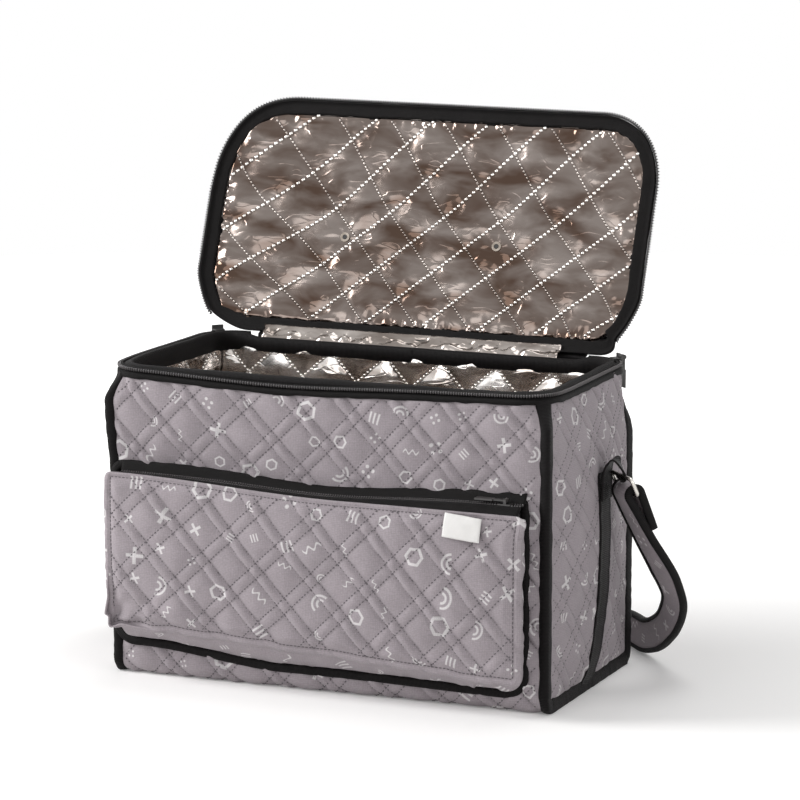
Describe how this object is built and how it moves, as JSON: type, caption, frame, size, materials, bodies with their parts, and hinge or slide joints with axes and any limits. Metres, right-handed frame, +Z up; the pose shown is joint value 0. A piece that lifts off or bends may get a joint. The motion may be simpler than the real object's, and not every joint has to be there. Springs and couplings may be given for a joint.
{
  "type": "cooler bag",
  "caption": "Soft insulated cooler bag with quilted canvas walls, foil lining, zipped hinged lid, zipped front pocket, side rings and a padded shoulder strap.",
  "frame": {"origin": "middle of the base, on the surface that the bag stands on", "axes": "+Z up, front pocket faces -Y, +X to the viewer's right when facing the pocket"},
  "size_m": [0.5534, 0.3403, 0.4746],
  "materials": {
    "canvas": "quilted woven cotton canvas with an off-white print",
    "black_tape": "ribbed black polyester tape and webbing",
    "zip_coil": "black nylon coil",
    "foam": "white polyethylene foam sheet",
    "foil_lining": "quilted metallised film",
    "black_metal": "black painted zinc",
    "nickel_ring": "nickel-plated steel wire",
    "label_cloth": "white woven label, blank"
  },
  "bodies": {
    "bag": {"body_zip_coil": "zip_coil", "body_zip_tape": "black_tape", "foam_back": "foam", "foam_base": "foam", "foam_front": "foam", "foam_left": "foam", "foam_right": "foam", "hinge_lining": "foil_lining", "hinge_panel": "black_tape", "label": "label_cloth", "left_ring_tab": "black_tape", "left_seam_binding": "black_tape", "left_side_panel": "canvas", "left_webbing": "black_tape", "lining_back": "foil_lining", "lining_floor": "foil_lining", "lining_front": "foil_lining", "lining_left": "foil_lining", "lining_right": "foil_lining", "pocket_binding": "black_tape", "pocket_front": "canvas", "pocket_gusset": "canvas", "pocket_zip_coil_back": "zip_coil", "pocket_zip_coil_front": "zip_coil", "pocket_zip_tape_back": "black_tape", "pocket_zip_tape_front": "black_tape", "right_ring_tab": "black_tape", "right_seam_binding": "black_tape", "right_side_panel": "canvas", "right_webbing": "black_tape", "rim_binding": "black_tape", "strap_band": "canvas", "strap_front_binding": "black_tape", "strap_rear_binding": "black_tape", "wrap_panel": "canvas"},
    "lid": {"handle_rivet_left": "black_metal", "handle_rivet_right": "black_metal", "lid_edge_binding": "black_tape", "lid_foam": "foam", "lid_handle": "black_tape", "lid_lining": "foil_lining", "lid_outer": "canvas", "lid_zip_coil": "zip_coil", "lid_zip_tape": "black_tape", "rivet_washer_left": "black_metal", "rivet_washer_right": "black_metal"},
    "left_slider": {"left_slider": "black_metal"},
    "right_slider": {"right_slider": "black_metal"},
    "left_pull": {"left_pull": "black_metal"},
    "right_pull": {"right_pull": "black_metal"},
    "pocket_slider": {"pocket_slider": "black_metal"},
    "pocket_pull": {"pocket_pull": "black_metal"},
    "left_ring": {"left_ring": "nickel_ring"},
    "right_ring": {"right_ring": "nickel_ring"}
  },
  "joints": [
    {"name": "lid_hinge", "type": "hinge", "parent": "bag", "child": "lid", "pos_m": [0, 0.1015, 0.2713], "axis": [-1, 0, 0], "range_deg": [-112, 68]},
    {"name": "right_slider_travel", "type": "hinge", "parent": "bag", "child": "right_slider", "pos_m": [0.168, 0.07, 0.2713], "axis": [0, 0, -1], "range_deg": [0, 43]},
    {"name": "left_slider_travel", "type": "hinge", "parent": "bag", "child": "left_slider", "pos_m": [-0.168, 0.07, 0.2713], "axis": [0, 0, 1], "range_deg": [0, 43]},
    {"name": "right_pull_swing", "type": "hinge", "parent": "right_slider", "child": "right_pull", "pos_m": [0.19487, 0.09687, 0.2728], "axis": [0.7071, -0.7071, 0], "range_deg": [0, 80]},
    {"name": "left_pull_swing", "type": "hinge", "parent": "left_slider", "child": "left_pull", "pos_m": [-0.19487, 0.09687, 0.2728], "axis": [0.7071, 0.7071, 0], "range_deg": [0, 80]},
    {"name": "pocket_slider_travel", "type": "slide", "parent": "bag", "child": "pocket_slider", "axis": [-1, 0, 0], "range_m": [0, 0.345]},
    {"name": "pocket_pull_swing", "type": "hinge", "parent": "pocket_slider", "child": "pocket_pull", "pos_m": [0.168, -0.11415, 0.1844], "axis": [0, 1, 0], "range_deg": [0, 170]},
    {"name": "right_ring_swing", "type": "hinge", "parent": "bag", "child": "right_ring", "pos_m": [0.228, 0.002, 0.188], "axis": [0.7071, -0.7071, 0], "range_deg": [-20, 60], "deforming": ["strap_band", "strap_front_binding", "strap_rear_binding"]},
    {"name": "left_ring_swing", "type": "hinge", "parent": "bag", "child": "left_ring", "pos_m": [-0.228, 0.002, 0.188], "axis": [0.7071, 0.7071, 0], "range_deg": [-20, 60], "deforming": ["strap_band", "strap_front_binding", "strap_rear_binding"]}
  ]
}
